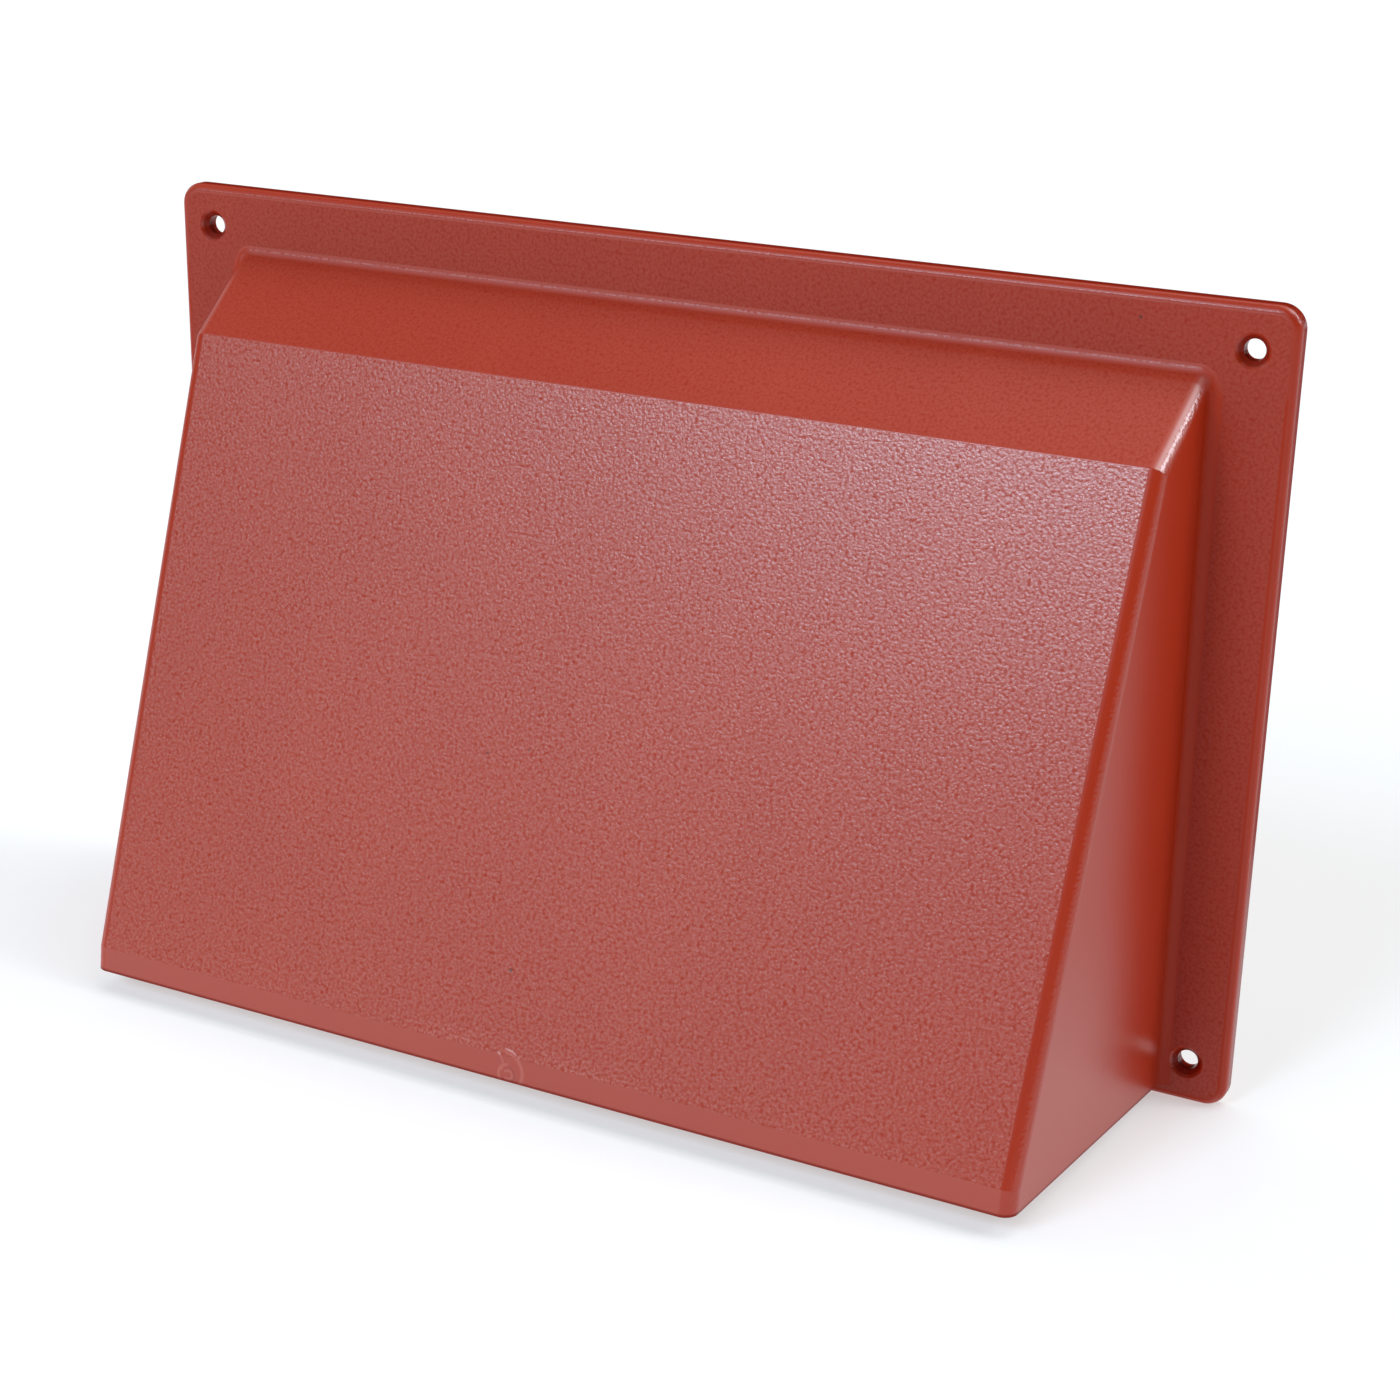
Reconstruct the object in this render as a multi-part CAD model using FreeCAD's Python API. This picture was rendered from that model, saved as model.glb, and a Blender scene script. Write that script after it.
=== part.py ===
import FreeCAD, Part
import os
import math
from FreeCAD import Vector as V

# Hooded wall vent for a 9 x 6 in (229 x 152 mm) air opening.
# Millimetres. +Z up, +X to the right seen from the front, the hood stands out towards -Y.
# The back of the flange lies on the wall plane y = 0; the origin is the centre of the
# four screw holes on that plane.

# ---------------------------------------------------------------- driving dimensions
# flange
FLANGE_W = 265.0          # overall width
FLANGE_H = 172.0          # overall height
FLANGE_T = 4.0            # overall depth, wall plane to front face
FLANGE_R = 5.0            # corner radius
FLANGE_EDGE_R = 1.9       # rounding of the front edge
SKIN_T = 2.2              # moulded wall thickness
RIM_W = 2.4               # width of the rim that touches the wall
# screw holes
HOLE_DX = 246.8           # spacing left to right
HOLE_DZ = 153.4           # spacing top to bottom
HOLE_D = 4.4              # through hole
CSK_D = 7.4               # mouth of the 90 degree countersink
BOSS_D = 10.0             # boss behind each hole
# hood, measured on the outside skin
Z_TOP_FOLD = 71.8         # where the top slope leaves the flange face
Y_UP_FOLD, Z_UP_FOLD = -25.05, 56.65      # fold between top slope and front panel
Y_LIP_TOP, Z_LIP_TOP = -74.2, -75.6       # fold between front panel and lip
Y_LIP_BOT, Z_LIP_BOT = -74.9, -81.2       # bottom edge of the lip
Z_SIDE_ROOT = -83.1       # bottom edge of the side walls at the flange face
SIDE_X0 = 116.9           # half width at the flange face, z = 0
SIDE_DRAFT = 0.0958       # half width lost per mm of depth
SIDE_FLARE = 0.014        # half width lost per mm of height
HOOD_EDGE_R = 3.2         # rounding where the side walls meet top slope, front and lip
FOLD_R = 0.7              # rounding of the upper fold
ROOT_R = 2.6              # fillet between hood and flange face
# insides of the cowl
OPEN_TOP = 69.1           # top of the opening through the flange
OPEN_BOT = -83.1          # bottom of the opening through the flange
RIB_T = 1.6               # stop ribs
RIB_H = 3.4
RIB_BACK_Y = -7.6         # rear ends of the ribs: the stop for the fly screen
RIB_FRONT_Y = -30.0
SIDE_RIB_Z = (-58.0, -6.0, 40.0)
TOP_RIB_X = (-84.0, -28.0, 28.0, 84.0)
# fly screen: a moulded frame, woven mesh and a clamp ring riveted over it
SCR_W_TOP, SCR_W_BOT = 225.6, 229.2       # outside width at the top and at the bottom edge
SCR_Z0, SCR_Z1 = -82.6, 68.6              # bottom and top of the frame
SCR_FRONT, SCR_BACK = -7.4, -3.4          # frame depth
SCR_BORDER = 6.0
SCR_R = 3.0               # outer corner radius of the frame
MULL_W = 1.8
MULL_T = 2.2
MULL_X = (-55.0, 0.0, 55.0)
MULL_Z = -7.0
MESH_T = 0.4
RING_T = 1.4
RING_W = 4.4
RIVET_D = 2.2             # push rivets that hold ring, mesh and frame together
RIVET_HOLE_D = 2.3
RIVET_DEEP = 3.0          # shank inside the frame
HEAD_D = 3.8
HEAD_T = 0.7
TAB_W, TAB_H, TAB_T = 16.0, 4.2, 2.2      # fingernail tabs on the ring


# ---------------------------------------------------------------- helpers
def prism_x(pts, half):
    """Solid with the given (y, z) outline, from x = -half to x = +half."""
    p = [V(-half, y, z) for y, z in pts]
    return Part.Face(Part.makePolygon(p + [p[0]])).extrude(V(2 * half, 0, 0))


def prism_y(pts, y0, y1):
    """Solid with the given (x, z) outline, from y0 to y1."""
    p = [V(x, y0, z) for x, z in pts]
    return Part.Face(Part.makePolygon(p + [p[0]])).extrude(V(0, y1 - y0, 0))


def box(x0, x1, y0, y1, z0, z1):
    return Part.makeBox(x1 - x0, y1 - y0, z1 - z0, V(x0, y0, z0))


def cyl_y(x, z, d, y0, y1):
    """Cylinder along Y between y0 and y1."""
    return Part.makeCylinder(d / 2.0, y1 - y0, V(x, y0, z), V(0, 1, 0))


def half_width(y, z):
    """Outside half width of the hood at a depth and a height."""
    return SIDE_X0 - SIDE_DRAFT * (-FLANGE_T - y) - SIDE_FLARE * z


def side_wedge(inset, y0, y1, z0, z1):
    """Six-sided solid between the two drafted side planes, moved in by inset."""
    k = inset * math.sqrt(1 + SIDE_DRAFT ** 2 + SIDE_FLARE ** 2)
    c = {}
    for s in (-1, 1):
        for y in (y0, y1):
            for z in (z0, z1):
                c[s, y, z] = V(s * (half_width(y, z) - k), y, z)

    def quad(*keys):
        v = [c[i] for i in keys]
        return Part.Face(Part.makePolygon(v + [v[0]]))
    faces = [
        quad((-1, y0, z0), (1, y0, z0), (1, y0, z1), (-1, y0, z1)),
        quad((-1, y1, z0), (1, y1, z0), (1, y1, z1), (-1, y1, z1)),
        quad((-1, y0, z0), (1, y0, z0), (1, y1, z0), (-1, y1, z0)),
        quad((-1, y0, z1), (1, y0, z1), (1, y1, z1), (-1, y1, z1)),
        quad((-1, y0, z0), (-1, y1, z0), (-1, y1, z1), (-1, y0, z1)),
        quad((1, y0, z0), (1, y1, z0), (1, y1, z1), (1, y0, z1)),
    ]
    shell = Part.makeShell(faces)
    solid = Part.makeSolid(shell)
    if solid.Volume < 0:
        solid.reverse()
    return solid


def rounded_plate(x0, x1, z0, z1, r, y0, y1):
    """Rectangular plate with rounded corners."""
    b = box(x0, x1, y0, y1, z0, z1)
    edges = [e for e in b.Edges
             if abs(e.Vertexes[0].X - e.Vertexes[-1].X) < 1e-6
             and abs(e.Vertexes[0].Z - e.Vertexes[-1].Z) < 1e-6]
    return b.makeFillet(r, edges)


def offset_line(p, q, d):
    """The line p-q moved by d to its left, as a point and a direction."""
    dx, dy = q[0] - p[0], q[1] - p[1]
    n = math.hypot(dx, dy)
    nx, ny = -dy / n, dx / n
    return (p[0] + nx * d, p[1] + ny * d), (dx / n, dy / n)


def meet(a, b):
    (ax, ay), (ux, uy) = a
    (bx, by), (vx, vy) = b
    t = ((bx - ax) * vy - (by - ay) * vx) / (ux * vy - uy * vx)
    return ax + ux * t, ay + uy * t


def only_solid(shape, name):
    shape = shape.removeSplitter()
    solids = shape.Solids
    assert len(solids) == 1, (name, len(solids))
    s = solids[0]
    assert s.isValid() and s.Volume > 0, name
    return s


def at_edge(e, p, q, tol=0.05):
    """Does the straight edge e run between the points p and q?"""
    a, b = e.Vertexes[0].Point, e.Vertexes[-1].Point
    return (a.distanceToPoint(p) < tol and b.distanceToPoint(q) < tol) or \
           (a.distanceToPoint(q) < tol and b.distanceToPoint(p) < tol)


# ---------------------------------------------------------------- hood, outside
A = (-FLANGE_T, Z_TOP_FOLD)
B = (Y_UP_FOLD, Z_UP_FOLD)
C = (Y_LIP_TOP, Z_LIP_TOP)
D = (Y_LIP_BOT, Z_LIP_BOT)
E = (-FLANGE_T, Z_SIDE_ROOT)
BACK = -1.2               # the hood body is carried this far into the flange
outline = [(BACK, Z_TOP_FOLD), A, B, C, D, E, (BACK, Z_SIDE_ROOT)]
hood = prism_x(outline, 150.0).common(side_wedge(0.0, -100.0, 20.0, -120.0, 120.0))
hood = hood.removeSplitter()


def pt(s, yz):
    return V(s * half_width(yz[0], yz[1]), yz[0], yz[1])


round_edges, fold_edges = [], []
for e in hood.Edges:
    for s in (-1, 1):
        for p, q in ((A, B), (B, C), (C, D)):
            if at_edge(e, pt(s, p), pt(s, q)):
                round_edges.append(e)
    if at_edge(e, pt(-1, B), pt(1, B)):
        fold_edges.append(e)
assert len(round_edges) == 6 and len(fold_edges) == 1, (len(round_edges), len(fold_edges))
hood = hood.makeFillet(HOOD_EDGE_R, round_edges)
fold_edges = [e for e in hood.Edges
              if abs(e.Vertexes[0].Z - B[1]) < 0.6 and abs(e.Vertexes[-1].Z - B[1]) < 0.6
              and abs(e.Vertexes[0].X - e.Vertexes[-1].X) > 150]
assert len(fold_edges) == 1, len(fold_edges)
FOLD_OK = True
try:
    h2 = hood.makeFillet(FOLD_R, fold_edges)
    if h2.isValid() and abs(h2.Volume - hood.Volume) < 200:
        hood = h2
    else:
        FOLD_OK = False
except Exception:
    FOLD_OK = False
print("upper fold rounded:", FOLD_OK)

# ---------------------------------------------------------------- flange, outside
flange = rounded_plate(-FLANGE_W / 2, FLANGE_W / 2, -FLANGE_H / 2, FLANGE_H / 2,
                       FLANGE_R, -FLANGE_T, 0.0)
front_loop = [e for e in flange.Edges
              if all(abs(v.Y + FLANGE_T) < 1e-6 for v in e.Vertexes)
              and abs(e.BoundBox.YLength) < 1e-6]
flange = flange.makeFillet(FLANGE_EDGE_R, front_loop)

body = flange.fuse(hood).removeSplitter()

# fillet where the hood leaves the flange face: along both sides and the top
root = []
for e in body.Edges:
    b = e.BoundBox
    if abs(b.YMin + FLANGE_T) < 0.02 and abs(b.YMax + FLANGE_T) < 0.02:
        c = e.CenterOfMass
        on_side = abs(abs(c.x) - half_width(-FLANGE_T, c.z)) < 1.5 and c.z > Z_SIDE_ROOT + 1
        on_top = abs(c.z - Z_TOP_FOLD) < 1.5 and abs(c.x) < 117
        if on_side or on_top:
            root.append(e)
print("root edges", len(root))
body = body.makeFillet(ROOT_R, root)

# ---------------------------------------------------------------- hood, inside
l_top = offset_line(A, B, SKIN_T)
l_front = offset_line(B, C, SKIN_T)
l_lip = offset_line(C, D, SKIN_T)
i_b = meet(l_top, l_front)
i_c = meet(l_front, l_lip)
i_top_at = meet(l_top, ((-FLANGE_T, 0.0), (0.0, 1.0)))
i_lip_down = meet(l_lip, ((0.0, -130.0), (1.0, 0.0)))
print("inside corners", [tuple(round(c, 2) for c in p) for p in (i_b, i_c, i_top_at)])
cavity_profile = [
    (1.0, OPEN_TOP), (-FLANGE_T, OPEN_TOP), i_b, i_c, i_lip_down,
    (-FLANGE_T, -130.0), (-FLANGE_T, OPEN_BOT), (1.0, OPEN_BOT),
]
cavity = prism_x(cavity_profile, 150.0).common(
    side_wedge(SKIN_T, -100.0, 20.0, -140.0, 120.0)).removeSplitter()
inner_round = []
kin = SKIN_T * math.sqrt(1 + SIDE_DRAFT ** 2 + SIDE_FLARE ** 2)


def ipt(s, yz):
    return V(s * (half_width(yz[0], yz[1]) - kin), yz[0], yz[1])


for e in cavity.Edges:
    for s in (-1, 1):
        for p, q in (((-FLANGE_T, OPEN_TOP), i_b), (i_b, i_c), (i_c, i_lip_down)):
            if at_edge(e, ipt(s, p), ipt(s, q)):
                inner_round.append(e)
assert len(inner_round) == 6, len(inner_round)
cavity = cavity.makeFillet(1.4, inner_round)
body = body.cut(cavity)

# ---------------------------------------------------------------- back of the flange
# shallow recess between the outer rim and the rim round the opening
rec_y0 = -(FLANGE_T - SKIN_T)
recess = rounded_plate(-FLANGE_W / 2 + RIM_W, FLANGE_W / 2 - RIM_W,
                       -FLANGE_H / 2 + RIM_W, FLANGE_H / 2 - RIM_W,
                       FLANGE_R - RIM_W, rec_y0, 1.0)
z_lo, z_hi = -FLANGE_H, OPEN_TOP + 2.4              # inner rim, drafted like the hood
x_lo, x_hi = half_width(0.0, z_lo) + 0.2, half_width(0.0, z_hi) + 0.2
keep = prism_y([(-x_lo, z_lo), (x_lo, z_lo), (x_hi, z_hi), (-x_hi, z_hi)],
               rec_y0 - 1, 2.0)
recess = recess.cut(keep)
for sx in (-1, 1):
    for sz in (-1, 1):
        recess = recess.cut(cyl_y(sx * HOLE_DX / 2, sz * HOLE_DZ / 2, BOSS_D, rec_y0 - 1, 2.0))
# short webs across the recess, rim to rim, above the opening and beside it
for x in (-84.0, -28.0, 28.0, 84.0):
    recess = recess.cut(box(x - 0.7, x + 0.7, rec_y0 - 1, 2.0, OPEN_TOP, FLANGE_H / 2))
for z in (-38.0, 0.0, 38.0):
    recess = recess.cut(box(-FLANGE_W, FLANGE_W, rec_y0 - 1, 2.0, z - 0.7, z + 0.7))
body = body.cut(recess)

# ---------------------------------------------------------------- ribs inside the hood
# they stiffen the shell and their rear ends are the stop for the fly screen
ribs = []
for z in SIDE_RIB_Z:
    for s in (-1, 1):
        pts = []
        for y in (RIB_BACK_Y, RIB_FRONT_Y):
            pts.append((half_width(y, z) - kin, y))
        x_a, x_b = pts[0][0], pts[1][0]
        p = [V(s * (x_a + 1.0), RIB_BACK_Y, z - RIB_T / 2),
             V(s * (x_a - RIB_H), RIB_BACK_Y, z - RIB_T / 2),
             V(s * (x_a - RIB_H), RIB_BACK_Y - 2.0, z - RIB_T / 2),
             V(s * (x_b - 0.5), RIB_FRONT_Y, z - RIB_T / 2),
             V(s * (x_b + 1.0), RIB_FRONT_Y, z - RIB_T / 2)]
        ribs.append(Part.Face(Part.makePolygon(p + [p[0]])).extrude(V(0, 0, RIB_T)))


def z_top_inside(y):
    """Height of the inside of the top slope."""
    (py, pz), (uy, uz) = l_top
    return pz + (y - py) * uz / uy


for x in TOP_RIB_X:
    y2 = -20.0
    zb = z_top_inside(RIB_BACK_Y)
    p = [V(x - RIB_T / 2, RIB_BACK_Y, zb + 0.8),
         V(x - RIB_T / 2, RIB_BACK_Y, OPEN_TOP - RIB_H - 2.0),
         V(x - RIB_T / 2, RIB_BACK_Y - 2.0, OPEN_TOP - RIB_H - 2.0),
         V(x - RIB_T / 2, y2, z_top_inside(y2) - 0.4),
         V(x - RIB_T / 2, y2, z_top_inside(y2) + 0.8)]
    ribs.append(Part.Face(Part.makePolygon(p + [p[0]])).extrude(V(RIB_T, 0, 0)))
for r in ribs:
    body = body.fuse(r)

# ---------------------------------------------------------------- screw holes
csk_depth = (CSK_D - HOLE_D) / 2.0
for sx in (-1, 1):
    for sz in (-1, 1):
        x, z = sx * HOLE_DX / 2, sz * HOLE_DZ / 2
        body = body.cut(cyl_y(x, z, HOLE_D, -FLANGE_T - 1, 1.0))
        cone = Part.makeCone(CSK_D / 2 + 0.5, HOLE_D / 2, csk_depth + 0.5,
                             V(x, -FLANGE_T - 0.5, z), V(0, 1, 0))
        body = body.cut(cone)
cowl_hood = only_solid(body, "cowl_hood")


# ---------------------------------------------------------------- fly screen
def scr_outline(inset, z0, z1):
    """Outline of the screen: slightly wider at the bottom, as the opening is."""
    def w(z):
        t = (z - SCR_Z0) / (SCR_Z1 - SCR_Z0)
        return (SCR_W_BOT + (SCR_W_TOP - SCR_W_BOT) * t) / 2 - inset
    return [(-w(z0), z0), (w(z0), z0), (w(z1), z1), (-w(z1), z1)]


def plate(inset, z0, z1, y0, y1, r):
    p = prism_y(scr_outline(inset, z0, z1), y0, y1)
    edges = [e for e in p.Edges if e.BoundBox.YLength > (y1 - y0) * 0.9
             and e.BoundBox.XLength < 1e-6 and e.BoundBox.ZLength < 1e-6]
    return p.makeFillet(r, edges)


frame = plate(0.0, SCR_Z0, SCR_Z1, SCR_FRONT, SCR_BACK, SCR_R)
frame = frame.cut(plate(SCR_BORDER, SCR_Z0 + SCR_BORDER, SCR_Z1 - SCR_BORDER,
                        SCR_FRONT - 1, SCR_BACK + 1, 3.0))
# the top of the frame is bevelled to follow the inside of the top slope
(ly, lz), (uy, uz) = l_top
bz = lz + (SCR_BACK - ly) * uz / uy - 0.35
fz = lz + (SCR_FRONT - 1 - ly) * uz / uy - 0.35
frame = frame.cut(prism_x([(SCR_BACK, bz), (SCR_FRONT - 1, fz), (SCR_FRONT - 1, bz + 9),
                           (SCR_BACK, bz + 9)], 150.0))
# thin support bars in front of the mesh, flush with the mesh side of the frame
for x in MULL_X:
    frame = frame.fuse(box(x - MULL_W / 2, x + MULL_W / 2, SCR_BACK - MULL_T, SCR_BACK,
                           SCR_Z0 + SCR_BORDER - 0.5, SCR_Z1 - SCR_BORDER + 0.5))
frame = frame.fuse(box(-SCR_W_TOP / 2 + SCR_BORDER - 0.5, SCR_W_TOP / 2 - SCR_BORDER + 0.5,
                       SCR_BACK - MULL_T, SCR_BACK, MULL_Z - MULL_W / 2, MULL_Z + MULL_W / 2))

# rivet positions round the border
rivets = []
zc0, zc1 = SCR_Z0 + 2.6, SCR_Z1 - 2.6
for x in (-100.0, -55.0, 0.0, 55.0, 100.0):
    rivets += [(x, zc0), (x, zc1)]
for z in (-45.0, MULL_Z, 31.0):
    t = (z - SCR_Z0) / (SCR_Z1 - SCR_Z0)
    xs = (SCR_W_BOT + (SCR_W_TOP - SCR_W_BOT) * t) / 2 - 2.6
    rivets += [(-xs, z), (xs, z)]
for x, z in rivets:
    frame = frame.cut(cyl_y(x, z, RIVET_HOLE_D, SCR_BACK - RIVET_DEEP - 0.2, SCR_BACK + 1))
screen_frame = only_solid(frame, "screen_frame")

# mesh sheet: woven insect mesh, its margin clamped between frame and ring
mesh = plate(0.6, SCR_Z0 + 0.6, SCR_Z1 - 0.6, SCR_BACK, SCR_BACK + MESH_T, 1.8)
for x, z in rivets:
    mesh = mesh.cut(cyl_y(x, z, RIVET_HOLE_D, SCR_BACK - 1, SCR_BACK + MESH_T + 1))
insect_mesh = only_solid(mesh, "insect_mesh")

# clamp ring over the margin of the mesh
ring_back = SCR_BACK + MESH_T + RING_T
ry0, ry1 = SCR_BACK + MESH_T, ring_back
ring = plate(0.3, SCR_Z0 + 0.3, SCR_Z1 - 0.3, ry0, ry1, 2.0)
ring = ring.cut(plate(0.3 + RING_W, SCR_Z0 + 0.3 + RING_W, SCR_Z1 - 0.3 - RING_W,
                      ry0 - 1, ry1 + 1, 2.0))
zt = SCR_Z1 - 0.3 - RING_W
zb = SCR_Z0 + 0.3 + RING_W
for x in (-82.0, 82.0):
    for z0, z1 in ((zt - TAB_H, zt + 0.6), (zb - 0.6, zb + TAB_H)):
        tab = box(x - TAB_W / 2, x + TAB_W / 2, ry0, ry0 + TAB_T, z0, z1)
        tab = tab.makeFillet(1.6, [e for e in tab.Edges if e.BoundBox.YLength > 1
                                   and abs(e.BoundBox.ZMin - (z0 if z0 < zt - 1 and z1 > 0 else z1)) < 0.01])
        ring = ring.fuse(tab)
for x, z in rivets:
    ring = ring.cut(cyl_y(x, z, RIVET_HOLE_D, ry0 - 1, ry1 + 1))
clamp_ring = only_solid(ring, "clamp_ring")

# push rivets: domed head on the ring, split-end shank pressed into the frame
pins = []
for x, z in rivets:
    head = cyl_y(x, z, HEAD_D, ring_back, ring_back + HEAD_T)
    head = head.makeFillet(HEAD_T * 0.8, [e for e in head.Edges if e.BoundBox.YLength < 1e-6
                                          and abs(e.BoundBox.YMin - (ring_back + HEAD_T)) < 1e-6])
    shank = cyl_y(x, z, RIVET_D, SCR_BACK - RIVET_DEEP, ring_back + 0.1)
    shank = shank.makeChamfer(0.4, [e for e in shank.Edges if e.BoundBox.YLength < 1e-6
                                    and abs(e.BoundBox.YMin - (SCR_BACK - RIVET_DEEP)) < 1e-6])
    pin = head.fuse(shank).removeSplitter().Solids
    assert len(pin) == 1
    pins.append(pin[0])
screen_rivets = Part.makeCompound(pins)

# ---------------------------------------------------------------- output
os.makedirs("parts", exist_ok=True)
for name, shape in (("cowl_hood", cowl_hood), ("screen_frame", screen_frame),
                    ("insect_mesh", insect_mesh), ("clamp_ring", clamp_ring),
                    ("screen_rivets", screen_rivets)):
    b = shape.BoundBox
    print("%-13s vol %.1f cm3  x %.2f..%.2f  y %.2f..%.2f  z %.2f..%.2f  faces %d" % (
        name, shape.Volume / 1000, b.XMin, b.XMax, b.YMin, b.YMax, b.ZMin, b.ZMax,
        len(shape.Faces)))
    shape.exportStep("parts/%s.step" % name)
made = [cowl_hood, screen_frame, insect_mesh, clamp_ring, screen_rivets]
for i, a in enumerate(made):
    for b in made[i + 1:]:
        print("overlap mm3", round(a.common(b).Volume, 4), "gap", round(a.distToShape(b)[0], 3))
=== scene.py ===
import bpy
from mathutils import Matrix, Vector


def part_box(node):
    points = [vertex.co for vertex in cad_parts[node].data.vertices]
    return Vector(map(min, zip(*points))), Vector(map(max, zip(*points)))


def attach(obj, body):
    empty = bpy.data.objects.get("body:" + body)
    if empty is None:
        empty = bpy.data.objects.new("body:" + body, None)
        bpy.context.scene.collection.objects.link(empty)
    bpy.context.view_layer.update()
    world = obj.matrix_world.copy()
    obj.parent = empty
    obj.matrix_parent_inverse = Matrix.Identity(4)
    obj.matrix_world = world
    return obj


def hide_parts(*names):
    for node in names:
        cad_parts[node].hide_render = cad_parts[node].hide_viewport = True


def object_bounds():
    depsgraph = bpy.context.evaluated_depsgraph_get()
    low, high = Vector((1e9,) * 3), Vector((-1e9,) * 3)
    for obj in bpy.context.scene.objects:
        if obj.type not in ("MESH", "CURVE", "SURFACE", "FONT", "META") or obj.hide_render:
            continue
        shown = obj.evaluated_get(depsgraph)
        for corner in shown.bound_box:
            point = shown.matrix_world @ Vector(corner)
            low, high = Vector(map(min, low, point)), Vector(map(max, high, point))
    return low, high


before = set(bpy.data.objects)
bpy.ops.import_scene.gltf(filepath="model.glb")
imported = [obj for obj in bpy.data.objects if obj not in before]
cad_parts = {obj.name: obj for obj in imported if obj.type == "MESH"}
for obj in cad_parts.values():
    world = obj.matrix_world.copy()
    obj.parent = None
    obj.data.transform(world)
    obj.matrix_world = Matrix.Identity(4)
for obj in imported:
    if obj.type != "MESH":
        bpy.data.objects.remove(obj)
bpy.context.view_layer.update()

import math
import bpy
import bmesh
from mathutils import Matrix, Vector

MM = 0.001
scene = bpy.context.scene
scene.view_settings.view_transform = "Standard"
scene.view_settings.look = "None"
scene.view_settings.exposure = 0.0
scene.view_settings.gamma = 1.0
scene.cycles.max_bounces = 5
scene.cycles.diffuse_bounces = 3
scene.cycles.glossy_bounces = 2
scene.cycles.transmission_bounces = 1
scene.cycles.caustics_reflective = False
scene.cycles.caustics_refractive = False


# ------------------------------------------------------------------ node helpers
class Tree:
    """Short names for the shader nodes used below. Arguments are numbers, vectors or sockets."""

    def __init__(self, node_tree):
        self.nt = node_tree
        self.nt.nodes.clear()

    def new(self, kind):
        return self.nt.nodes.new(kind)

    def put(self, socket, value):
        if isinstance(value, bpy.types.NodeSocket):
            self.nt.links.new(value, socket)
        elif isinstance(value, (tuple, list, Vector)):
            v = list(value)
            socket.default_value = v + [1.0] if len(socket.default_value) == 4 and len(v) == 3 else v
        else:
            socket.default_value = value

    def math(self, op, a, b=0.0, c=0.0, clamp=False):
        n = self.new("ShaderNodeMath")
        n.operation, n.use_clamp = op, clamp
        self.put(n.inputs[0], a)
        self.put(n.inputs[1], b)
        self.put(n.inputs[2], c)
        return n.outputs[0]

    def add(self, a, b):
        return self.math("ADD", a, b)

    def sub(self, a, b):
        return self.math("SUBTRACT", a, b)

    def mul(self, a, b):
        return self.math("MULTIPLY", a, b)

    def vmath(self, op, a, b=(0.0, 0.0, 0.0), scale=1.0):
        n = self.new("ShaderNodeVectorMath")
        n.operation = op
        self.put(n.inputs[0], a)
        self.put(n.inputs[1], b)
        if op == "SCALE":
            self.put(n.inputs["Scale"], scale)
        return n.outputs["Value"] if op in ("DOT_PRODUCT", "LENGTH", "DISTANCE") else n.outputs["Vector"]

    def dot(self, a, b):
        return self.vmath("DOT_PRODUCT", a, b)

    def step(self, value, lo, hi, out_lo=0.0, out_hi=1.0, smooth=True):
        """0 below lo and 1 above hi, smooth between. lo may be above hi to turn it round."""
        n = self.new("ShaderNodeMapRange")
        n.interpolation_type = "SMOOTHSTEP" if smooth else "LINEAR"
        n.clamp = True
        self.put(n.inputs["Value"], value)
        if lo > hi:
            lo, hi, out_lo, out_hi = hi, lo, out_hi, out_lo
        n.inputs["From Min"].default_value, n.inputs["From Max"].default_value = lo, hi
        n.inputs["To Min"].default_value, n.inputs["To Max"].default_value = out_lo, out_hi
        return n.outputs["Result"]

    def noise(self, vec, scale, detail=2.0, rough=0.5, distort=0.0, lac=2.0, dims="3D"):
        n = self.new("ShaderNodeTexNoise")
        n.noise_dimensions = dims
        self.put(n.inputs["Vector"], vec)
        n.inputs["Scale"].default_value = scale
        n.inputs["Detail"].default_value = detail
        n.inputs["Roughness"].default_value = rough
        n.inputs["Lacunarity"].default_value = lac
        n.inputs["Distortion"].default_value = distort
        return n.outputs["Fac"]

    def voronoi(self, vec, scale, feature="F1", smooth=0.6, rand=1.0, dims="3D"):
        n = self.new("ShaderNodeTexVoronoi")
        n.voronoi_dimensions, n.feature = dims, feature
        self.put(n.inputs["Vector"], vec)
        n.inputs["Scale"].default_value = scale
        n.inputs["Randomness"].default_value = rand
        if feature == "SMOOTH_F1":
            n.inputs["Smoothness"].default_value = smooth
        return n.outputs["Distance"]

    def mix(self, fac, a, b, blend="MIX"):
        n = self.new("ShaderNodeMix")
        n.data_type, n.blend_type = "RGBA", blend
        self.put(n.inputs[0], fac)
        self.put(n.inputs[6], a)
        self.put(n.inputs[7], b)
        return n.outputs[2]

    def xyz(self, vec):
        n = self.new("ShaderNodeSeparateXYZ")
        self.put(n.inputs[0], vec)
        return n.outputs

    def join(self, x, y, z):
        n = self.new("ShaderNodeCombineXYZ")
        self.put(n.inputs[0], x)
        self.put(n.inputs[1], y)
        self.put(n.inputs[2], z)
        return n.outputs[0]

    def bump(self, height, distance, strength=1.0, normal=None):
        n = self.new("ShaderNodeBump")
        self.put(n.inputs["Height"], height)
        n.inputs["Distance"].default_value = distance
        self.put(n.inputs["Strength"], strength)
        if normal is not None:
            self.put(n.inputs["Normal"], normal)
        return n.outputs["Normal"]

    def principled(self, colour, rough, normal=None, ior=1.5, spec=0.5):
        n = self.new("ShaderNodeBsdfPrincipled")
        self.put(n.inputs["Base Color"], colour)
        self.put(n.inputs["Roughness"], rough)
        self.put(n.inputs["IOR"], ior)
        self.put(n.inputs["Specular IOR Level"], spec)
        if normal is not None:
            self.put(n.inputs["Normal"], normal)
        out = self.new("ShaderNodeOutputMaterial")
        self.nt.links.new(n.outputs["BSDF"], out.inputs["Surface"])
        return n


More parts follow.
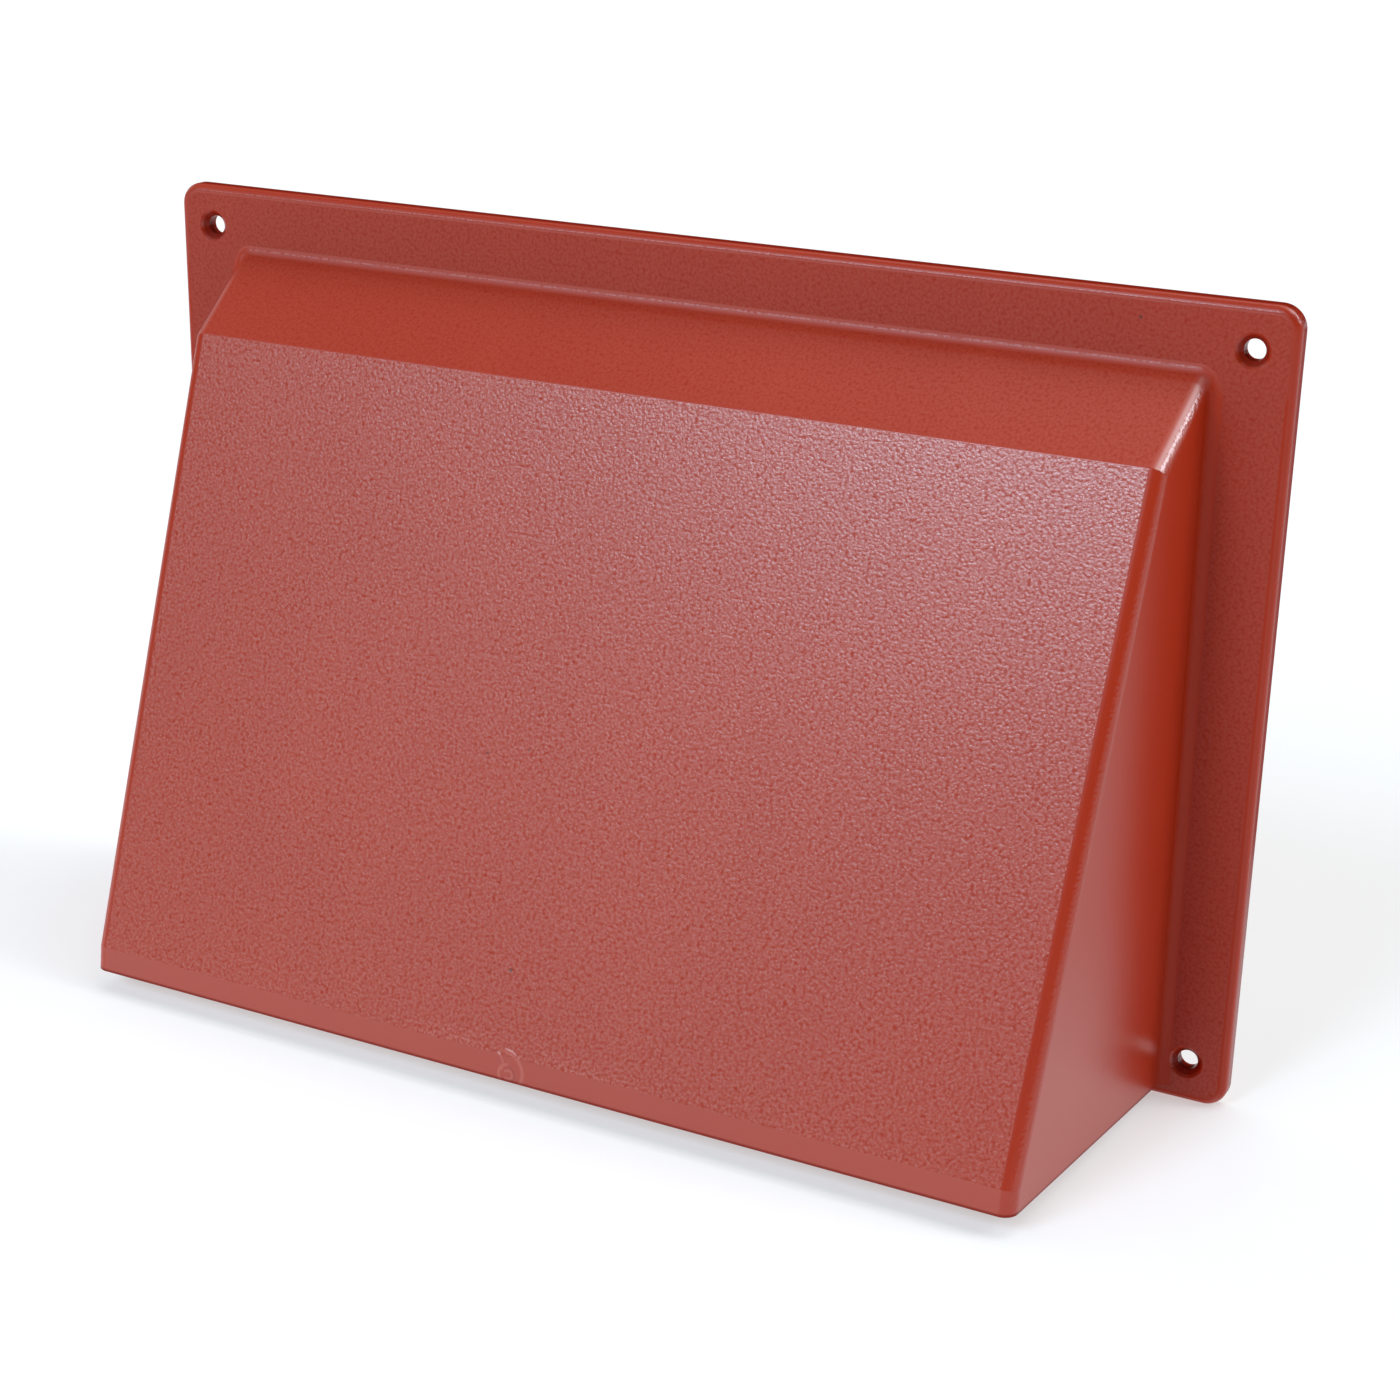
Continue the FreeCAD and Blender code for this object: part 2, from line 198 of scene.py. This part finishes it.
def material(name):
    m = bpy.data.materials.new(name)
    m.use_nodes = True
    return m, Tree(m.node_tree)


def rgb(r, g, b):
    return (r, g, b, 1.0)


def dress(node, mat):
    """Puts a material on every slot of a CAD node."""
    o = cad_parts[node]
    if not o.material_slots:
        o.data.materials.append(mat)
    for s in o.material_slots:
        s.material = mat


# ------------------------------------------------------------------ the cowl: terracotta moulded plastic
FRONT_N = Vector((0.0, -132.25, 49.15)).normalized()      # front panel
SLOPE_N = Vector((0.0, -15.15, 21.05)).normalized()       # top slope
LIP_N = Vector((0.0, -5.6, 0.7)).normalized()             # lip under the front panel
SIDE_N = Vector((1.0, -0.0958, 0.014)).normalized()       # right side wall
GRAIN_MM = 0.046                                          # depth scale of the panel's grain
GATE = Vector((-1.6 * MM, -74.7 * MM, -79.6 * MM))        # where the plastic was injected


def terracotta():
    mat, t = material("cowl_terracotta")
    co = t.new("ShaderNodeTexCoord")
    p, n = co.outputs["Object"], co.outputs["Normal"]
    x, y, z = t.xyz(p)[:3]
    nx, ny, nz = t.xyz(n)[:3]
    ax, az = t.math("ABSOLUTE", x), t.math("ABSOLUTE", z)

    # which moulded face a point is on, from the way the face looks
    front = t.step(t.dot(n, FRONT_N), 0.9930, 0.9996)
    slope = t.step(t.dot(n, SLOPE_N), 0.9930, 0.9996)
    lip = t.step(t.dot(n, LIP_N), 0.9930, 0.9990)
    flange = t.mul(t.step(ny, -0.9930, -0.9996), t.step(y, -6.0 * MM, -4.4 * MM))
    side = t.step(t.math("ABSOLUTE", nx), 0.975, 0.992)
    inside = t.step(ny, 0.30, 0.42)
    root = t.math("MULTIPLY", t.mul(t.step(y, -7.2 * MM, -6.2 * MM), t.step(y, -3.80 * MM, -4.02 * MM)),
                  t.sub(1.0, flange))
    top_edge = t.mul(t.mul(t.step(t.math("ABSOLUTE", nx), 0.20, 0.50), t.step(t.math("ABSOLUTE", nx), 0.985, 0.93)),
                     t.step(nz, 0.26, 0.40))
    foot_z = t.add(z, t.add(83.2 * MM, t.mul(y, 0.0268)))        # height above the lower edge of lip and side walls

    # spark-eroded grain of the mould: sharp little grains about 1 mm apart.
    # One flat pattern serves front panel, top slope and flange, which all look towards -Y.
    v = t.add(z, t.mul(y, 0.35))
    g = t.join(x, v, 0.0)
    blotch = t.noise(g, 1380.0, 2.0, 0.65, dims="2D")
    pebble = t.voronoi(g, 1340.0, "F1", dims="2D")
    fine = t.noise(g, 2900.0, 0.0, 0.5, dims="2D")
    grain = t.add(blotch, t.mul(t.sub(pebble, 0.38), -0.50))
    small = t.add(t.mul(fine, 0.6), t.mul(blotch, 0.7))

    # heights in mm, one per kind of face
    panel_h = t.mul(t.mul(grain, front), GRAIN_MM)
    slope_h = t.mul(t.mul(small, t.math("MAXIMUM", slope, flange)), GRAIN_MM * 0.45)
    rest_mask = t.math("SUBTRACT", 1.0, t.math("MAXIMUM", front, t.math("MAXIMUM", slope, flange)), clamp=True)
    turn = t.mul(t.step(t.math("ABSOLUTE", nx), 0.45, 0.70), t.step(t.math("ABSOLUTE", nx), 0.99, 0.93))
    rest_h = t.mul(t.mul(t.noise(p, 1500.0, 0.0, 0.5), rest_mask), t.add(0.010, t.mul(turn, 0.075)))

    # slow waves in the skin where the plastic shrank over ribs and bosses
    waves = t.mul(t.noise(p, 26.0, 1.0, 0.4), 0.10)

    # gate mark on the lip: a small coil with one arc to its left and a longer one to its right
    low = t.step(y, -66 * MM, -72 * MM)

    def ring(cx, cz, radius, half, lo_deg, hi_deg):
        """Soft line along part of a circle in the plane of the lip."""
        rx, rz = t.sub(x, cx * MM), t.sub(z, cz * MM)
        r = t.math("SQRT", t.add(t.mul(rx, rx), t.mul(rz, rz)))
        line = t.step(t.math("ABSOLUTE", t.sub(r, radius * MM)), half * MM, half * 0.25 * MM)
        mid, reach = math.radians((lo_deg + hi_deg) / 2), math.radians((hi_deg - lo_deg) / 2)
        along = t.add(t.mul(rx, math.cos(mid)), t.mul(rz, math.sin(mid)))
        part = t.step(t.math("DIVIDE", along, t.math("MAXIMUM", r, 0.00001)), math.cos(reach + 0.25), math.cos(reach - 0.15))
        return t.mul(line, part)

    coil = t.math("MAXIMUM", ring(-1.6, -79.6, 0.95, 0.40, -140.0, 150.0), ring(-1.75, -79.6, 2.2, 0.50, 95.0, 240.0))
    coil = t.math("MAXIMUM", coil, ring(-2.6, -79.0, 4.4, 0.62, -28.0, 96.0))
    coil = t.math("MAXIMUM", coil, ring(-5.3, -77.6, 2.3, 0.40, -35.0, 75.0))
    coil = t.mul(coil, low)
    hollow = t.mul(t.math("MAXIMUM", ring(-1.6, -79.6, 0.05, 0.55, -180.0, 180.0),
                          ring(-1.6, -79.6, 1.62, 0.36, -80.0, 100.0)), low)
    gate_h = t.mul(t.sub(coil, t.mul(hollow, 0.5)), 0.055)

    # ejector marks on the hidden faces: shallow discs
    ex = t.math("WRAP", x, 26.0 * MM, -26.0 * MM)
    ez = t.math("WRAP", t.add(z, 8.0 * MM), 22.0 * MM, -22.0 * MM)
    marks = t.step(t.math("SQRT", t.add(t.mul(ex, ex), t.mul(ez, ez))), 3.1 * MM, 2.9 * MM)
    eject_h = t.mul(t.mul(marks, inside), 0.10)

    height = t.add(t.add(t.add(panel_h, slope_h), t.add(rest_h, waves)), t.add(gate_h, eject_h))
    normal = t.bump(height, MM)

    # colour: a deep terracotta pigment, slightly uneven, a little paler where the skin is rubbed
    pigment = rgb(0.442, 0.0296, 0.0060)
    darker = rgb(0.420, 0.0268, 0.0052)
    paler = rgb(0.470, 0.0420, 0.0135)
    cloud = t.noise(p, 11.0, 3.0, 0.55, 0.4)
    colour = t.mix(t.step(cloud, 0.36, 0.66), darker, pigment)
    streak = t.noise(t.vmath("MULTIPLY", t.vmath("SUBTRACT", p, GATE), (60.0, 14.0, 14.0)), 1.0, 2.0, 0.5)
    colour = t.mix(t.mul(t.step(streak, 0.50, 0.74), 0.20), colour, paler)
    # painted highlight and painted shade on the gate mark: its raised lines are painted paler, its hollow centre
    # darker
    colour = t.mix(t.mul(coil, 0.72), colour, rgb(0.52, 0.095, 0.060))
    colour = t.mix(t.mul(hollow, 0.40), colour, rgb(0.270, 0.0150, 0.0050))
    # painted highlight: the raised spots of the grain along the lower fold, on both sides of the gate, are painted
    # paler
    from_gate = t.math("ABSOLUTE", t.add(x, 1.0 * MM))
    fold_highlight = t.mul(t.mul(t.step(from_gate, 5.0 * MM, 8.0 * MM), t.step(from_gate, 30.0 * MM, 15.0 * MM)),
                   t.mul(t.step(z, -75.9 * MM, -75.2 * MM), t.step(z, -71.5 * MM, -74.2 * MM)))
    fold_highlight = t.mul(t.mul(fold_highlight, t.step(y, -66 * MM, -72 * MM)), t.step(blotch, 0.50, 0.64))
    colour = t.mix(t.mul(fold_highlight, 0.50), colour, rgb(0.52, 0.100, 0.070))
    # painted shade: the pits of the grain on front panel, top slope and flange are painted darker
    pit_shade = t.step(grain, 0.47, 0.30)
    grained = t.math("MAXIMUM", front, t.math("MAXIMUM", slope, flange))
    colour = t.mix(t.mul(t.mul(pit_shade, grained), 0.24), colour, rgb(0.300, 0.0170, 0.0040))
    over = t.math("MAXIMUM", t.sub(ax, 0.1325), t.sub(az, 0.0860))
    bevel = t.mul(t.step(ny, -0.30, -0.80), t.step(over, -3.6 * MM, -2.6 * MM))
    # painted shade: the flange and the rounding along its front edges are painted darker than the hood
    flange_shade = t.math("MAXIMUM", flange, t.mul(bevel, 0.72))
    colour = t.mix(t.mul(flange_shade, 0.24), colour, rgb(0.235, 0.0155, 0.0056))
    # painted shade: the top slope is painted a little darker
    colour = t.mix(t.mul(slope, 0.16), colour, rgb(0.330, 0.0250, 0.0040))

    # the rims of the flange are rubbed a little paler in patches, and a thin ring at the mouth of each hole is paler
    rim = t.mul(t.step(over, -2.2 * MM, -0.6 * MM), t.step(y, -2.2 * MM, -3.6 * MM))
    hx, hz = t.sub(ax, 0.1234), t.sub(az, 0.0767)
    hole = t.math("SQRT", t.add(t.mul(hx, hx), t.mul(hz, hz)))
    mouth = t.mul(t.step(t.math("ABSOLUTE", t.sub(hole, 3.75 * MM)), 0.50 * MM, 0.10 * MM),
                  t.step(y, -3.0 * MM, -3.6 * MM))
    pale_rims = t.math("MAXIMUM", t.mul(rim, t.step(t.noise(p, 120.0, 3.0, 0.6), 0.34, 0.66)), mouth)
    colour = t.mix(t.mul(pale_rims, 0.14), colour, paler)
    # painted shade: the narrow side faces of the flange are painted a deeper red, and have less sheen, alike all the
    # way round
    shaded_side_faces = t.mul(t.step(over, -0.9 * MM, -0.3 * MM), t.step(y, -3.0 * MM, -1.9 * MM))
    shaded_side_faces = t.mul(shaded_side_faces, t.sub(1.0, inside))
    colour = t.mix(t.mul(shaded_side_faces, 0.62), colour, rgb(0.215, 0.0070, 0.0030))
    # painted shade: the insides of the holes are painted darker; the cut lower edge is painted darker too
    hole_shade = t.mul(t.step(hole, 3.45 * MM, 2.9 * MM), t.step(y, -3.9 * MM, -3.3 * MM))
    cut_edge = t.mul(t.step(foot_z, 0.80 * MM, 0.30 * MM), t.step(y, -6.0 * MM, -9.0 * MM))
    colour = t.mix(t.mul(t.math("MAXIMUM", hole_shade, cut_edge), 0.62), colour, rgb(0.155, 0.0065, 0.0040))

    # dark specks of foreign material in the plastic
    speck = None
    for c, rad in (((-4.9, -68.0, -58.9), 0.42), ((-19.6, -52.6, -17.8), 0.33), ((-9.9, -51.9, -15.6), 0.22),
                   ((100.6, -4.0, 80.8), 0.34), ((-47.0, -49.0, -8.0), 0.20), ((61.0, -60.0, -37.0), 0.18),
                   ((-88.0, -4.0, 79.0), 0.20), ((112.0, -30.0, -60.0), 0.22), ((-112.5, -34.0, -22.0), 0.22)):
        q = t.vmath("DISTANCE", p, Vector(c) * MM)
        s = t.step(q, rad * 1.5 * MM, rad * 0.5 * MM)
        speck = s if speck is None else t.math("MAXIMUM", speck, s)
    colour = t.mix(t.mul(speck, 0.75), colour, rgb(0.05, 0.008, 0.006))

    # a trace of pale dust in the inside corners
    dust = t.mul(inside, t.step(t.noise(p, 55.0, 4.0, 0.6), 0.48, 0.75))
    colour = t.mix(t.mul(dust, 0.10), colour, rgb(0.46, 0.30, 0.24))

    # sheen: grained faces are duller than the polished lip, sides and rounded edges
    rough = t.sub(0.31, t.mul(front, 0.04))
    rough = t.add(rough, t.mul(t.math("MAXIMUM", slope, flange), 0.07))
    rough = t.add(rough, t.mul(t.sub(t.noise(p, 19.0, 3.0, 0.5), 0.5), 0.05))
    rough = t.add(rough, t.mul(t.mul(t.sub(blotch, 0.5), front), 0.10))
    rough = t.add(rough, t.mul(inside, 0.08))
    rough = t.add(rough, t.mul(t.mul(rim, t.sub(1.0, flange)), 0.07))
    rough = t.add(rough, t.mul(root, 0.18))
    rough = t.sub(rough, t.mul(top_edge, 0.03))
    gloss = t.add(0.60, t.mul(front, 0.32))
    gloss = t.add(gloss, t.mul(lip, 0.30))
    gloss = t.sub(gloss, t.mul(flange, 0.18))
    gloss = t.sub(gloss, t.mul(slope, 0.15))
    gloss = t.add(gloss, t.mul(top_edge, 0.40))
    gloss = t.sub(gloss, t.mul(root, t.add(0.12, t.mul(t.step(z, 70.0 * MM, 66.0 * MM), 0.24))))
    gloss = t.sub(gloss, t.mul(shaded_side_faces, 0.36))
    gloss = t.sub(gloss, t.mul(t.mul(rim, t.sub(1.0, flange)), 0.30))
    gloss = t.add(gloss, t.mul(side, t.sub(t.mul(t.step(z, -22.0 * MM, -64.0 * MM), 0.40), 0.23)))
    speckle = t.add(1.0, t.mul(t.mul(t.sub(grain, 0.50), grained), t.add(1.1, t.mul(front, 0.70))))
    gloss = t.mul(gloss, speckle)
    gloss = t.mul(gloss, t.sub(1.0, t.mul(t.math("MAXIMUM", hole_shade, cut_edge), 0.7)))
    t.principled(colour, rough, normal, t.add(1.5, t.mul(top_edge, 0.26)), gloss)
    return mat


# ------------------------------------------------------------------ the fly screen: black plastics
def moulded(name, base, pale, rough, grain_scale, grain_mm, dust=0.25):
    """Fine-grained moulded plastic with handled edges and dust."""
    mat, t = material(name)
    co = t.new("ShaderNodeTexCoord")
    p, n = co.outputs["Object"], co.outputs["Normal"]
    nx, ny, nz = t.xyz(n)[:3]
    fine = t.noise(p, grain_scale, 2.0, 0.6)
    cell = t.voronoi(p, grain_scale * 0.8)
    h = t.mul(t.sub(fine, t.mul(cell, 0.4)), grain_mm)
    h = t.add(h, t.mul(t.noise(p, 45.0, 1.0, 0.4), 0.03))
    normal = t.bump(h, MM)
    colour = t.mix(t.step(t.noise(p, 34.0, 3.0, 0.55), 0.36, 0.68), base, pale)
    rounded = t.math("MULTIPLY", t.step(t.math("ABSOLUTE", ny), 0.985, 0.93),
                     t.step(t.math("MAXIMUM", t.math("ABSOLUTE", nx), t.math("ABSOLUTE", nz)), 0.985, 0.93))
    scuff = t.mul(t.step(t.noise(p, 420.0, 3.0, 0.65), 0.52, 0.68), 0.30)
    colour = t.mix(t.math("MAXIMUM", t.mul(rounded, 0.35), scuff), colour, pale)
    settled = t.mul(t.step(nz, 0.35, 0.9), t.step(t.noise(p, 160.0, 4.0, 0.6), 0.40, 0.66))
    colour = t.mix(t.mul(settled, dust), colour, rgb(0.20, 0.18, 0.16))
    r = t.add(rough, t.mul(t.sub(t.noise(p, 75.0, 3.0, 0.5), 0.5), 0.16))
    r = t.add(r, t.mul(settled, 0.15))
    t.principled(colour, r, normal, 1.5)
    return mat


def strand():
    """Plastic-coated glass yarn: a twist along the strand, slightly dusty where it looks up."""
    mat, t = material("mesh_yarn")
    co = t.new("ShaderNodeTexCoord")
    p, n = co.outputs["Object"], co.outputs["Normal"]
    x, y, z = t.xyz(p)[:3]
    nx, ny, nz = t.xyz(n)[:3]
    twist = t.math("SINE", t.mul(t.add(t.add(x, z), t.mul(y, 2.0)), 15000.0))
    normal = t.bump(t.mul(t.add(twist, t.mul(t.noise(p, 2600.0, 1.0, 0.5), 2.0)), 0.006), MM)
    colour = t.mix(t.step(t.noise(p, 60.0, 3.0, 0.6), 0.36, 0.66), rgb(0.030, 0.032, 0.034), rgb(0.060, 0.062, 0.064))
    colour = t.mix(t.mul(t.step(t.noise(p, 900.0, 2.0, 0.6), 0.52, 0.66), 0.4), colour, rgb(0.11, 0.11, 0.108))
    colour = t.mix(t.mul(t.step(nz, 0.2, 0.9), 0.22), colour, rgb(0.19, 0.18, 0.165))
    rough = t.add(0.46, t.mul(t.sub(t.noise(p, 240.0, 2.0, 0.5), 0.5), 0.2))
    t.principled(colour, rough, normal, 1.48)
    return mat


def woven_mesh():
    """Plain-woven insect mesh inside the CAD sheet's box: every strand goes over one neighbour and under the next."""
    lo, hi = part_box("insect_mesh")
    w_bot, w_top = (229.2 / 2 - 0.6) * MM, (225.6 / 2 - 0.6) * MM
    y_mid, rad = (lo.y + hi.y) / 2, 0.128 * MM
    amp = (hi.y - lo.y) / 2 - rad - 0.002 * MM
    pitch = 2.0 * MM
    rivets = []
    zc0, zc1 = (-82.6 + 2.6) * MM, (68.6 - 2.6) * MM
    for rx in (-0.100, -0.055, 0.0, 0.055, 0.100):
        rivets += [(rx, zc0), (rx, zc1)]
    for rz in (-0.045, -0.007, 0.031):
        k = (rz + 0.0826) / 0.1512
        rx = (0.2292 + (0.2256 - 0.2292) * k) / 2 - 0.0026
        rivets += [(-rx, rz), (rx, rz)]

    def half(zz):
        k = (zz - lo.z) / (hi.z - lo.z)
        return w_bot + (w_top - w_bot) * k

    def clear(a, b):
        m = ((a[0] + b[0]) / 2, (a[2] + b[2]) / 2)
        return all(math.hypot(m[0] - r[0], m[1] - r[1]) > 1.15 * MM + pitch * 0.35 for r in rivets)

    n_x = int((w_bot - 1.0 * MM) / pitch)
    xs = [i * pitch for i in range(-n_x, n_x + 1)]
    z_start = lo.z + 1.0 * MM
    n_z = int((hi.z - 0.4 * MM - z_start) / pitch)
    zs = [z_start + j * pitch for j in range(n_z + 1)]
    sides = 6
    verts, faces = [], []

    def tube(points, across):
        """Tube through the points; across is the sideways direction of the strand, in the sheet."""
        runs, run = [], [points[0]]
        for a, b in zip(points, points[1:]):
            if clear(a, b):
                run.append(b)
            else:
                runs.append(run)
                run = [b]
        runs.append(run)
        for run in runs:
            if len(run) < 2:
                continue
            first = len(verts)
            for c in run:
                for s in range(sides):
                    g = 2 * math.pi * (s + 0.5) / sides
                    off = Vector(across) * (rad * math.cos(g)) + Vector((0, 1, 0)) * (rad * math.sin(g))
                    verts.append(Vector(c) + off)
            for k in range(len(run) - 1):
                for s in range(sides):
                    a = first + k * sides + s
                    b = first + k * sides + (s + 1) % sides
                    faces.append((a, b, b + sides, a + sides))

    for i, xx in enumerate(xs):
        pts = [(xx, y_mid + amp * (1 if (i + j) % 2 else -1), zz) for j, zz in enumerate(zs)
               if abs(xx) < half(zz) - 0.3 * MM]
        pts = [(pts[0][0], y_mid, lo.z + 0.1 * MM)] + pts + [(pts[-1][0], y_mid, min(hi.z, pts[-1][2] + pitch / 2) - 0.1 * MM)]
        tube(pts, (1, 0, 0))
    for j, zz in enumerate(zs):
        h = half(zz) - 0.1 * MM
        pts = [(xx, y_mid - amp * (1 if (i + j) % 2 else -1), zz) for i, xx in enumerate(xs) if abs(xx) < h - 0.3 * MM]
        pts = [(-h, y_mid, zz)] + pts + [(h, y_mid, zz)]
        tube(pts, (0, 0, 1))
    me = bpy.data.meshes.new("insect_mesh_weave")
    me.from_pydata([tuple(v) for v in verts], [], faces)
    me.update()
    for poly in me.polygons:
        poly.use_smooth = True
    bm = bmesh.new()
    bm.from_mesh(me)
    bmesh.ops.recalc_face_normals(bm, faces=bm.faces)
    bm.to_mesh(me)
    bm.free()
    o = bpy.data.objects.new("insect_mesh_weave", me)
    scene.collection.objects.link(o)
    k = (w_bot + w_top)
    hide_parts("insect_mesh")
    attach(o, "fly_screen")
    return o


cowl_mat = terracotta()
dress("cowl_hood", cowl_mat)
frame_mat = moulded("screen_frame_plastic", rgb(0.022, 0.023, 0.025), rgb(0.046, 0.047, 0.050), 0.46, 1500.0, 0.012)
ring_mat = moulded("clamp_ring_plastic", rgb(0.026, 0.027, 0.028), rgb(0.060, 0.060, 0.062), 0.42, 1300.0, 0.014)
rivet_mat = moulded("rivet_nylon", rgb(0.085, 0.086, 0.090), rgb(0.15, 0.15, 0.155), 0.32, 1900.0, 0.004, 0.15)
dress("screen_frame", frame_mat)
dress("clamp_ring", ring_mat)
dress("screen_rivets", rivet_mat)
weave = woven_mesh()
weave.data.materials.append(strand())


# ------------------------------------------------------------------ stage: pale floor, soft light all round
lo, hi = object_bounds()
floor_z = lo.z - 0.00005
me = bpy.data.meshes.new("floor")
size = 30.0
me.from_pydata([(-size, -size, floor_z), (size, -size, floor_z), (size, size, floor_z), (-size, size, floor_z)],
               [], [(0, 1, 2, 3)])
floor = bpy.data.objects.new("floor", me)
scene.collection.objects.link(floor)
fm, t = material("floor_paper")
co = t.new("ShaderNodeTexCoord")
pap = t.noise(co.outputs["Object"], 180.0, 3.0, 0.6)
bs = t.principled(t.mix(pap, rgb(0.55, 0.55, 0.55), rgb(0.58, 0.58, 0.577)), 0.85, t.bump(pap, 0.00004), 1.45, 0.25)
bs.inputs["Emission Color"].default_value = (1.0, 1.0, 1.0, 1.0)
bs.inputs["Emission Strength"].default_value = 0.470
floor.data.materials.append(fm)

# the studio round it: soft round sources in a dark room, the main one in front to the left and above,
# weaker ones low on both sides, and one high behind; the camera itself sees a plain near-white ground
world = bpy.data.worlds.new("studio")
scene.world = world
world.use_nodes = True
t = Tree(world.node_tree)
co = t.new("ShaderNodeTexCoord")
d = co.outputs["Generated"]


def lobe(direction, core_deg, edge_deg, level):
    c = t.dot(d, Vector(direction).normalized())
    return t.mul(t.step(c, math.cos(math.radians(edge_deg)), math.cos(math.radians(core_deg))), level)


# azimuth (0 in front, 90 to the right), height, bright middle and soft edge in degrees, strength, tint
SOFTBOXES = [
    ( -20,  38,  4, 15,  14.00, (0.70, 0.92, 1.09)),
    ( -38,  34,  4, 16,   0.36, (0.70, 0.90, 1.00)),
    ( -30,  10,  8, 26,   1.03, (1.00, 1.00, 1.00)),
    ( -60,  40,  8, 26,   0.34, (1.00, 1.00, 1.00)),
    (-100,  25,  8, 28,   0.73, (1.00, 1.00, 1.00)),
    (-120,  50,  8, 28,   0.09, (1.00, 1.00, 1.00)),
    ( 108,  15,  8, 26,   0.78, (1.00, 1.00, 1.00)),
    ( 107,  40,  5, 14,   8.00, (0.88, 0.95, 1.02)),
    ( 120,  70,  6, 26,   3.02, (1.00, 1.00, 1.00)),
    (-150,  68,  6, 26,   1.63, (1.00, 1.00, 1.00)),
    ( -70,  66,  6, 22,   0.42, (1.00, 1.00, 1.00)),
]
ROOM = 0.000
light = (ROOM, ROOM, ROOM)
for az, el, core, edge, level, tint in SOFTBOXES:
    a, e = math.radians(az), math.radians(el)
    glow = lobe((math.sin(a) * math.cos(e), -math.cos(a) * math.cos(e), math.sin(e)), core, edge, level)
    light = t.vmath("ADD", light, t.vmath("SCALE", tint, scale=glow))
path = t.new("ShaderNodeLightPath")
bg = t.new("ShaderNodeBackground")
t.put(bg.inputs["Color"], t.mix(path.outputs["Is Camera Ray"], light, (0.97, 0.97, 0.97, 1.0)))
bg.inputs["Strength"].default_value = 1.0
out = t.new("ShaderNodeOutputWorld")
t.nt.links.new(bg.outputs[0], out.inputs["Surface"])

# ------------------------------------------------------------------ camera
right = Vector((0.8889143698279417, 0.45760903130554725, 0.020620804567040015))
down = Vector((0.17461423381425858, -0.29688671242885606, -0.9388120947946106))
ahead = Vector((-0.423486850401347, 0.8381242476213084, -0.34381191527688915))
place = Vector((0.25368903, -0.49430833, 0.18457840))
cam_data = bpy.data.cameras.new("camera")
cam_data.lens = 36.0 * 2617.1238302849047 / 1400.0
cam_data.sensor_width = 36.0
cam_data.clip_start, cam_data.clip_end = 0.01, 200.0
cam = bpy.data.objects.new("camera", cam_data)
scene.collection.objects.link(cam)
m = Matrix.Identity(4)
for i in range(3):
    m[i][0], m[i][1], m[i][2], m[i][3] = right[i], -down[i], -ahead[i], place[i]
cam.matrix_world = m
scene.camera = cam
